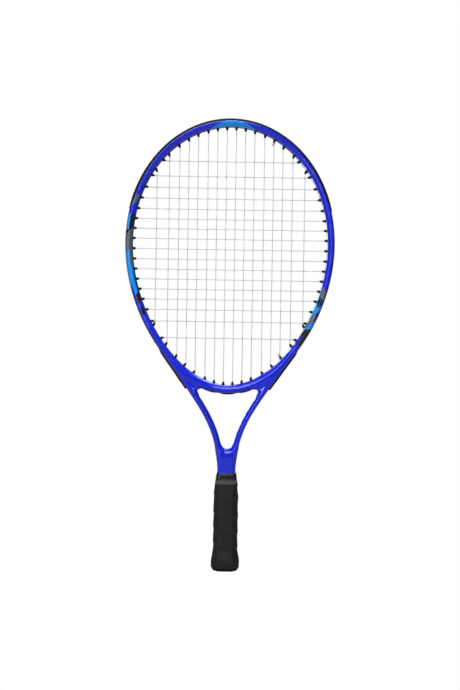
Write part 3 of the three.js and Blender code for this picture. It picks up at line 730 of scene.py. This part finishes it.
# ---- string holes
def way_out(start, way, line, normals, out):
    """Where the ray from a point crosses a line moved outward, and how far along that line."""
    path = line + out * normals
    a, e = path[:-1], np.diff(path, axis=0)
    cross = way[0] * e[:, 1] - way[1] * e[:, 0]
    d = a - start
    along = (d[:, 0] * e[:, 1] - d[:, 1] * e[:, 0]) / cross
    share = (d[:, 0] * way[1] - d[:, 1] * way[0]) / cross
    hit = np.nonzero((along > 0) & (share >= 0) & (share <= 1))[0]
    first = hit[np.argmin(along[hit])]
    return start + along[first] * way, first + share[first]


RIM = rim_line(0.5)
UNDERSIDE = bridge_line(0.5)
INNER = even_line(*hoop_line(np.linspace(-math.pi, math.pi, 1200)), 0.5)
TIP = -TUBE_HALF - NUB
TURNED_MAINS = 60
STRING_LIFT = 0.8


def make_hole(coordinate, is_main, side):
    """A grommet hole: the nub's tip, where the straight string arrives, and the way out to the groove."""
    axis = 0 if is_main else 1
    low, high = -math.pi / 2, math.pi / 2
    if is_main:
        low, high = (0, math.pi) if side > 0 else (-math.pi, 0)
    miss = lambda t: hoop_line(t, TIP)[0][axis] - coordinate
    for _ in range(40):
        middle = (low + high) / 2
        if miss(low) * miss(middle) <= 0:
            high = middle
        else:
            low = middle
    flip = np.array((1 if is_main else side, 1))
    tip, normal = (v * flip for v in hoop_line(low, TIP))
    straight = np.array((0, side) if is_main else (side, 0), float)
    through_bridge = is_main and side < 0 and abs(coordinate) <= BRIDGE_HALF
    low_turn = 1 if is_main and side < 0 and abs(coordinate) < TURNED_MAINS else 0.5
    turn = 0 if through_bridge else low_turn
    way = unit(straight * (1 - turn) + normal * turn)
    line = UNDERSIDE if through_bridge else RIM
    bed, station = way_out(tip, way, *line, STRING_BED)
    wall = way_out(tip, way, *INNER, -TUBE_HALF)[0]
    return {"tip": tip, "way": way, "bed": bed, "wall": wall, "line": line, "station": station,
            "y": STRING_LIFT if is_main else -STRING_LIFT, "bridge": through_bridge}


MAINS = [-x for x in MAIN_X[::-1]] + list(MAIN_X)
MAIN_HOLES = [[make_hole(x, True, side) for side in (-1, 1)] for x in MAINS]
CROSS_HOLES = [[make_hole(z, False, side) for side in (-1, 1)] for z in CROSS_Z]
HOLES = [hole for pair in MAIN_HOLES + CROSS_HOLES for hole in pair]


# ---- bumper guard and grommet strips
def tube_edge(y, lean=0.4):
    """How far out the hoop's tube reaches at a height y in its section."""
    level = np.clip(np.abs(y) / TUBE_DEPTH, 0, 1)
    return TUBE_HALF * (1 - level**2.4) ** (1 / nose_power(500)) + lean * level**2 - TUBE_HALF


def joined(name, parts):
    """One object from several (vertices, faces) parts."""
    vertices, faces, start = [], [], 0
    for points, quads in parts:
        vertices.append(points)
        faces.append(np.asarray(quads) + start)
        start += len(points)
    return turn_out(make_object(name, np.vstack(vertices), np.vstack(faces)))


def turn_part(part):
    """A part's faces turned to point out, by its own volume."""
    points, quads = part
    a, b, c, d = (points[quads[:, k]] for k in range(4))
    volume = np.einsum("ij,ij->i", a, np.cross(b, c)).sum() + np.einsum("ij,ij->i", a, np.cross(c, d)).sum()
    return (points, quads[:, ::-1]) if volume < 0 else part


# A nub's (distance from the wall, radius), out along the barrel and back down the bore.
NUB_PROFILE = [(-2.6, 1.6), (-0.2, 1.7), (0.0, 2.2), (0.35, 2.15), (0.55, 1.85), (2.0, 1.7), (3.1, 1.42),
               (3.75, 1.1), (3.85, 0.85), (3.4, 0.7), (0.5, 0.7), (-2.6, 0.7)]
NUB_FOOT, NUB_BARREL = 0.5, 3.3


def nub(hole):
    """A grommet barrel with its collar, poking out inside the hoop, and the bore for the string."""
    sides = 18
    wall = hole["wall"]
    back = -hole["way"]
    reach = np.linalg.norm(hole["tip"] - wall) + 0.2
    side = np.array((-back[1], back[0]))
    angle = round_angles(sides)
    rings = []
    for along, radius in NUB_PROFILE:
        if along > NUB_FOOT:
            along = NUB_FOOT + (along - NUB_FOOT) * (reach - NUB_FOOT) / NUB_BARREL
        middle = wall + back * along
        out = radius * np.cos(angle)
        up = hole["y"] + radius * np.sin(angle)
        rings.append(np.stack([middle[0] + out * side[0], up, middle[1] + out * side[1]], -1))
    rings = np.array(rings)
    return turn_part((rings.reshape(-1, 3), ring_faces(len(rings), sides, loop=True)))


BUMPER_INNER = 2.15


def bumper_section(reach):
    """The guard's outline at a station: a channel in the middle, flanges over the tube's outside."""
    u = np.linspace(0, 1, 46)
    y = BUMPER_INNER + (reach - BUMPER_INNER) * u
    thick = 1.2 - 0.42 * ramp(u, 0.55, 1.0)
    ridge = sum(0.20 * np.exp(-((y - place) / 0.28) ** 2) for place in (5.6, 7.0, 8.2))
    n = tube_edge(y) + thick + ridge * (1 - ramp(u, 0.9, 1))
    n = n - 0.12 * np.exp(-((y - BUMPER_INNER) / 0.25) ** 2)
    outer = np.stack([np.minimum(n, 1.2), y], -1)
    rim = [(n[-1] - 0.12, reach + 0.14), (tube_edge(reach + 0.1) - 0.25, reach + 0.1)]
    inner = [(tube_edge(w) - 0.4, w) for w in np.linspace(reach - 0.6, 3.3, 6)]
    half = np.vstack([[(-1.9, 2.0)], outer, rim, inner, [(-2.8, 3.2)]])
    return np.vstack([half, (half * (1, -1))[::-1]])


RIM_STEP = 1.6


def make_bumper():
    points, normals = rim_line(RIM_STEP)
    start = hoop_line(BUMPER_END, TUBE_HALF)[0][1]
    keep = points[:, 1] > start
    points, normals = points[keep], normals[keep]
    along = np.minimum(np.arange(len(points)), np.arange(len(points))[::-1]) * RIM_STEP
    reach = 3.9 + 6.2 * ramp(along, -3, 13)
    rings = sections_to_rings(points, normals, np.array([bumper_section(r) for r in reach]))
    parts = [turn_part(capped_sweep(rings))]
    parts += [nub(h) for h in HOLES if h["line"] is RIM and h["bed"][1] > start]
    finish_piece(sharpen(joined("bumper_guard_molded", parts), 42), "black_nylon", "bumper_guard")


def strip_section(rise):
    """A grommet strip's channel, its two rails lapping over the groove's edges."""
    lap = tube_edge(5.8)
    half = np.array([
        (-1.9, 0), (-1.9, 1.85), (-1.75, 2.0), (rise - 0.18, 2.0), (rise, 2.16), (rise, 3.3),
        (rise - 0.2, 3.9), (0.14, 4.3), (lap + 0.3, 5.6), (lap + 0.15, 5.8), (lap - 0.2, 5.7), (-0.7, 4.4),
        (-0.7, 3.2), (-2.8, 3.2)])
    return np.vstack([half, (half[1:] * (1, -1))[::-1]])


def make_strip(name, points, normals, rise, holes):
    rings = sections_to_rings(points, normals, np.array([strip_section(r) for r in rise]))
    parts = [turn_part(capped_sweep(rings))] + [nub(h) for h in holes]
    made = joined("grommet_strip_molded_" + name, parts)
    finish_piece(sharpen(made), "black_nylon", "grommet_strip_" + name)


def make_strips():
    """The two side strips with their thicker tails, and the bridge strip with its three pads."""
    bumper_foot = hoop_line(BUMPER_END, TUBE_HALF)[0][1]
    below = [h for h in HOLES if h["line"] is RIM and h["bed"][1] <= bumper_foot]
    points, normals = rim_line(RIM_STEP, TAIL_SHARE)
    for side, name in ((-1, "left"), (1, "right")):
        keep = (points[:, 1] < bumper_foot + 1.2) & (points[:, 0] * side > 0)
        z = points[keep, 1]
        rise = 0.2 + 1.45 * (1 - ramp(z, 279, 287)) + 0.2 * np.exp(-((z - 247.5) / 3) ** 2)
        make_strip(name, points[keep], normals[keep], rise, [h for h in below if h["bed"][0] * side > 0])

    points, normals = bridge_line(1.2, 0.295)
    x = np.abs(points[:, 0])
    pad = np.exp(-((x / 8.5) ** 6)) + np.exp(-(((x - 24) / 8.5) ** 6))
    make_strip("bridge", points, normals, 0.35 + pad, [h for h in HOLES if h["bridge"]])


# ---- strings
def weave(at, knots, heights):
    """A string's height between its crossings, easing from one to the next."""
    k = np.clip(np.searchsorted(knots, at) - 1, 0, len(knots) - 2)
    share = np.clip((at - knots[k]) / (knots[k + 1] - knots[k]), 0, 1)
    return heights[k] + (heights[k + 1] - heights[k]) * (0.5 - 0.5 * np.cos(math.pi * share))


WEAVE = 0.62


def string_run(index, holes, crossings, is_main, step=2.0):
    """A straight run between two tips, over and under its crossings, with how near each one is."""
    axis = 1 if is_main else 0
    low, high = holes[0]["tip"], holes[1]["tip"]
    start, end = low[axis], high[axis]
    inside = np.sort([c for c in crossings if start + 2 < c < end - 2])
    first = np.argmax(np.sort(crossings) == inside[0])
    number = first + np.arange(len(inside))
    sign = np.where((number + index) % 2 == 0, 1, -1) * (1 if is_main else -1)
    knots = np.concatenate([[start], inside, [end]])
    heights = np.concatenate([[holes[0]["y"]], WEAVE * sign, [holes[1]["y"]]])
    near = [inside + d for d in (-1.4, -0.7, 0, 0.7, 1.4)]
    at = np.unique(np.concatenate([np.linspace(start, end, int((end - start) / step) + 1), *near]))
    y = weave(at, knots, heights)
    fixed = np.full(at.shape, low[1 - axis])
    points = np.stack([fixed, y, at] if is_main else [at, y, fixed], -1)
    gap = np.abs(at[:, None] - inside[None, :]).min(1)
    return points, np.exp(-((gap / 1.1) ** 2))


def outside_loop(a, b):
    """From one tip out through its grommet, along the groove and back in to the next tip."""
    points, normals = a["line"]
    path = points + STRING_BED * normals
    i, j = a["station"], b["station"]
    between = np.arange(math.ceil(min(i, j)), math.floor(max(i, j)) + 1)
    if i > j:
        between = between[::-1]
    trail = [a["tip"] + (a["bed"] - a["tip"]) * s for s in np.linspace(0.05, 1, 12)]
    trail += list(path[between]) + [b["bed"] + (b["tip"] - b["bed"]) * s for s in np.linspace(0, 0.95, 12)]
    trail = np.array(trail)
    for _ in range(2):
        trail[1:-1] = (trail[:-2] + 2 * trail[1:-1] + trail[2:]) / 4
    return np.stack([trail[:, 0], np.full(len(trail), a["y"]), trail[:, 1]], -1)


STRING_SIDES = 8


def circle(side, up):
    """Unit circles across a path, one for each pair of cross directions."""
    angle = round_angles(STRING_SIDES)
    return np.cos(angle)[None, :, None] * side[:, None] + np.sin(angle)[None, :, None] * up[:, None]


def tube_along(points, radius):
    """Rings of a round tube along points in space."""
    along = unit(np.gradient(points, axis=0))
    side = unit(np.cross(along, (0, 1, 0)))
    return points[:, None] + radius[:, None, None] * circle(side, np.cross(side, along))


KNOT_TURNS, KNOT_RADIUS, KNOT_STRING, KNOT_LENGTH = 2.6, 1.18, 0.6, 2.9


def knot(hole):
    """A tie-off: a short coil of string round its own run, just inside the nub."""
    turn = np.linspace(0, KNOT_TURNS * 2 * math.pi, 64)
    back = -hole["way"]
    side = np.array((-back[1], back[0]))
    along = 0.8 + turn / turn[-1] * KNOT_LENGTH
    middle = hole["tip"] + along[:, None] * back
    spread = np.full(turn.shape, KNOT_RADIUS)
    spread[-8:] += np.linspace(0, 0.9, 8)
    x, z = (middle[:, k] + spread * np.cos(turn) * side[k] for k in (0, 1))
    points = np.stack([x, hole["y"] + spread * np.sin(turn), z], -1)
    along_path = unit(np.gradient(points, axis=0))
    axis = np.array((back[0], 0, back[1]))
    out = unit(np.cross(along_path, axis))
    return points[:, None] + KNOT_STRING * circle(out, np.cross(out, along_path))


def make_string(name, holes, crossings, is_main, knots):
    """One string laid back and forth through its holes, with its tie-offs."""
    points, marks = [], []
    for index, pair in enumerate(holes):
        run, mark = string_run(index, pair, crossings, is_main)
        forward = index % 2 == 0
        points.append(run if forward else run[::-1])
        marks.append(mark if forward else mark[::-1])
        if index < len(holes) - 1:
            end = 1 if forward else 0
            loop = outside_loop(pair[end], holes[index + 1][end])
            points.append(loop)
            marks.append(np.zeros(len(loop)))
    first, last = holes[0][0], holes[-1][1 if (len(holes) - 1) % 2 == 0 else 0]
    for hole, at_start in ((first, True), (last, False)):
        stub = np.array([hole["tip"] + (hole["bed"] - hole["tip"]) * s for s in np.linspace(0.1, 0.8, 6)])
        plain = np.zeros(len(stub))
        stub = np.stack([stub[:, 0], plain + hole["y"], stub[:, 1]], -1)
        points = [stub[::-1]] + points if at_start else points + [stub]
        marks = [plain] + marks if at_start else marks + [plain]
    path, mark = np.vstack(points), np.concatenate(marks)
    rings = tube_along(path, STRING_RADIUS * (1 - 0.06 * mark))
    parts = [turn_part(capped_sweep(rings))] + [turn_part(capped_sweep(knot(h))) for h in knots]
    made = joined(name + "_strung", parts)
    # How near each point is to a crossing: it thins the string there and darkens it with painted shade.
    values = np.zeros(len(made.data.vertices))
    values[:mark.size * STRING_SIDES] = np.repeat(mark, STRING_SIDES)
    add_attribute(made, "crossing", values)
    finish_piece(made, "string", name)


def make_strings():
    tie = [MAIN_HOLES[MAINS.index(55)][1], MAIN_HOLES[MAINS.index(67)][0]]
    make_string("main_string", MAIN_HOLES, np.array(CROSS_Z), True, tie)
    make_string("cross_string", CROSS_HOLES, np.array(MAINS, float), False, [])


# ---- handle
GRIP_THICK, GRIP_BOTTOM, GRIP_TOP, TAPE_BOTTOM = 1.8, 2.6, 117.3, 112.0
LAP_RISE, WRAP_INSET, NECK_INSET = 0.55, 0.15, 1.0
TAPE_INSET, TAPE_BACK, TAPE_STEP = 0.28, 0.62, 0.14
# Height, half width, half depth and the flat share of each face of the wrapped handle.
GRIP_PROFILE = np.array([
    (2.6, 16.6, 14.7, 0.57), (5, 18.2, 16.3, 0.57), (12, 18.4, 16.5, 0.57), (18, 17.2, 15.4, 0.57),
    (24, 16, 14.2, 0.57), (30, 15.75, 13.9, 0.57), (96, 15.75, 13.9, 0.57), (104, 15.1, 13.5, 0.65),
    (112, 14.65, 13.2, 0.74), (117.3, 13.9, 12.9, 0.76)])
COLLAR_PROFILE = np.array([
    (117.6, 13.95, 13, 0.76), (121, 13.6, 12.7, 0.76), (124, 12.9, 12, 0.76), (126, 12.35, 11.4, 0.76)])
LEDGES = (-3.0, 17.0, 32.2, 52.5, 71.0, 94.6, 112.8, 132.0)


def octagon_reach(angle, width, depth, flat, crisp=44):
    """The distance from the axis to a softened octagon in each direction."""
    diagonal = width * depth * (1 + flat) / np.hypot(width, depth)
    slope = np.arctan2(width, depth)
    total = 0
    for centre, reach in ((0, width), (math.pi, width), (math.pi / 2, depth), (-math.pi / 2, depth),
                          *((s, diagonal) for s in (slope, math.pi - slope, -slope, math.pi + slope))):
        total = total + np.maximum(np.cos(angle - centre), 0) ** crisp / reach**crisp
    return total ** (-1 / crisp)


def at_height(profile, z):
    return [np.interp(z, profile[:, 0], profile[:, k]) for k in (1, 2, 3)]


def polar_rings(angle, z, reach):
    z = np.broadcast_to(z, reach.shape)
    return np.stack([reach * np.cos(angle), reach * np.sin(angle), z], -1)


def octagon_rings(profile, angle, z, inset):
    return polar_rings(angle, z, octagon_reach(angle, *at_height(profile, z)) - inset)


def looped(name, rings):
    """A closed ring-shaped piece: the last ring joins the first."""
    faces = ring_faces(len(rings), rings.shape[1], loop=True)
    return turn_out(make_object(name, rings.reshape(-1, 3), faces))


def make_grip():
    """The wrap: one tape wound up the handle, each turn's edge lapping over the last."""
    count = 200
    angle = round_angles(count)[None, :]
    top = TAPE_BOTTOM - 0.35
    z = np.arange(GRIP_BOTTOM, top, 0.4)[:, None]
    round_share = ((angle + math.pi / 2) / (2 * math.pi) + 0.5) % 1 - 0.5
    turn = np.interp(z, LEDGES, np.arange(len(LEDGES))) + round_share
    turn = turn + 0.006 * np.sin(3 * angle + 1.3 * z / 10)
    phase = turn % 1
    lap = LAP_RISE * ramp(phase, 0.0, 0.035) * (1 - ramp(phase, 0.03, 0.75)) * (0.2 + 0.8 * ramp(z, 13, 24))
    pucker = 0.05 * np.sin(7 * angle + z / 3.1) * np.sin(z / 5.3 + 2 * angle)
    reach = octagon_reach(angle, *at_height(GRIP_PROFILE, z)) - WRAP_INSET + lap + pucker
    reach = reach - 0.7 * (1 - ramp(z, GRIP_BOTTOM, GRIP_BOTTOM + 1.0))
    outer = polar_rings(angle, z, reach)
    lid = polar_rings(angle, top + 0.1, octagon_reach(angle, *at_height(GRIP_PROFILE, top)) - NECK_INSET)
    neck_z = np.array((top + 0.15, GRIP_TOP))[:, None]
    neck = octagon_rings(GRIP_PROFILE, angle, neck_z, NECK_INSET)
    inner_z = np.array((GRIP_TOP, 30, 12, 5, GRIP_BOTTOM))[:, None]
    inner = octagon_rings(GRIP_PROFILE, angle, inner_z, GRIP_THICK)
    rings = np.vstack([outer, lid, neck, inner])
    made = looped("grip_wrap_wound", rings)
    # A band just past each turn's lapping edge, where the tape gets its painted highlight.
    lip = np.zeros(rings.shape[:2])
    lip[:len(outer)] = np.exp(-((phase - 0.045) / 0.03) ** 2)
    add_attribute(made, "lip", lip.ravel())
    finish_piece(sharpen(made, 60), "grip_tape", "grip_wrap")


def make_finishing_tape():
    angle = round_angles(160)[None, :]
    middle = np.arange(TAPE_BOTTOM + 0.4, GRIP_TOP - 0.1, 0.4)
    z = np.concatenate([[TAPE_BOTTOM, TAPE_BOTTOM + 0.05], middle, [GRIP_TOP - 0.05, GRIP_TOP]])[:, None]
    step = TAPE_STEP * ramp((angle - 0.35 * (z - TAPE_BOTTOM) / 5) % (2 * math.pi), 0.0, 0.05)
    outer = polar_rings(angle, z, octagon_reach(angle, *at_height(GRIP_PROFILE, z)) - TAPE_INSET + step)
    inner = octagon_rings(GRIP_PROFILE, angle, z[[-1, 0]], TAPE_BACK)
    made = looped("finishing_tape_wound", np.vstack([outer, inner]))
    finish_piece(sharpen(made, 50), "finishing_tape", "grip_finishing_tape")


BORE_GAP = 0.32
FOOT_HEIGHT, LIP_HEIGHT = 0.7, 0.9
COLLAR_CRISP = 22


def make_collar():
    """A rubber sleeve with a rolled foot, a waist line and a rounded lip."""
    angle = round_angles(160)[None, :]
    low, high = COLLAR_PROFILE[0, 0], COLLAR_PROFILE[-1, 0]
    foot = low + 0.35 * (1 - np.cos(np.linspace(0, math.pi / 2, 5)))
    lip = high - LIP_HEIGHT + LIP_HEIGHT * np.sin(np.linspace(0.2, math.pi / 2, 6))
    z = np.concatenate([foot, np.linspace(low + FOOT_HEIGHT, high - LIP_HEIGHT, 26), lip])[:, None]
    round_off = 0.35 * (1 - ramp(z, low, low + FOOT_HEIGHT)) + 0.55 * ramp(z, high - LIP_HEIGHT, high) ** 2
    groove = 0.28 * np.exp(-((z - 119.3) / 0.32) ** 2) + 0.2 * np.exp(-((z - 124.2) / 0.3) ** 2)
    reach = octagon_reach(angle, *at_height(COLLAR_PROFILE, z), COLLAR_CRISP)
    outer = polar_rings(angle, z, reach - round_off - groove)
    bore_z = np.array((high - 0.25, high - 0.7, low))[:, None]
    bore_flat = np.full_like(bore_z, 0.86)
    bore = octagon_reach(angle, SHAFT_HALF + BORE_GAP, TUBE_DEPTH + BORE_GAP, bore_flat, COLLAR_CRISP)
    made = looped("grip_collar_molded", np.vstack([outer, polar_rings(angle, bore_z, bore)]))
    finish_piece(sharpen(made, 50), "collar_rubber", "grip_collar", body="collar")


def dress_hidden_nodes():
    """The pieces under the wrap keep their CAD shapes and get finished materials."""
    for node, slot in (("handle_pallet_front", "handle_foam"), ("handle_pallet_back", "handle_foam"),
                       ("butt_cap", "black_nylon"), ("butt_cap_staple_front", "staple_steel"),
                       ("butt_cap_staple_back", "staple_steel")):
        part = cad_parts[node]
        part.data.materials.clear()
        part.data.materials.append(LOOKS[slot])


make_camera()
make_stage()
LOOKS = {
    "black_nylon": nylon_look(), "string": string_look(), "grip_tape": grip_look(),
    "finishing_tape": finishing_look(), "collar_rubber": rubber_look(), "handle_foam": foam_look(),
    "staple_steel": steel_look(), "frame_lacquer": lacquer_look()}
make_frame()
make_bumper()
make_strips()
make_strings()
make_grip()
make_finishing_tape()
make_collar()
dress_hidden_nodes()
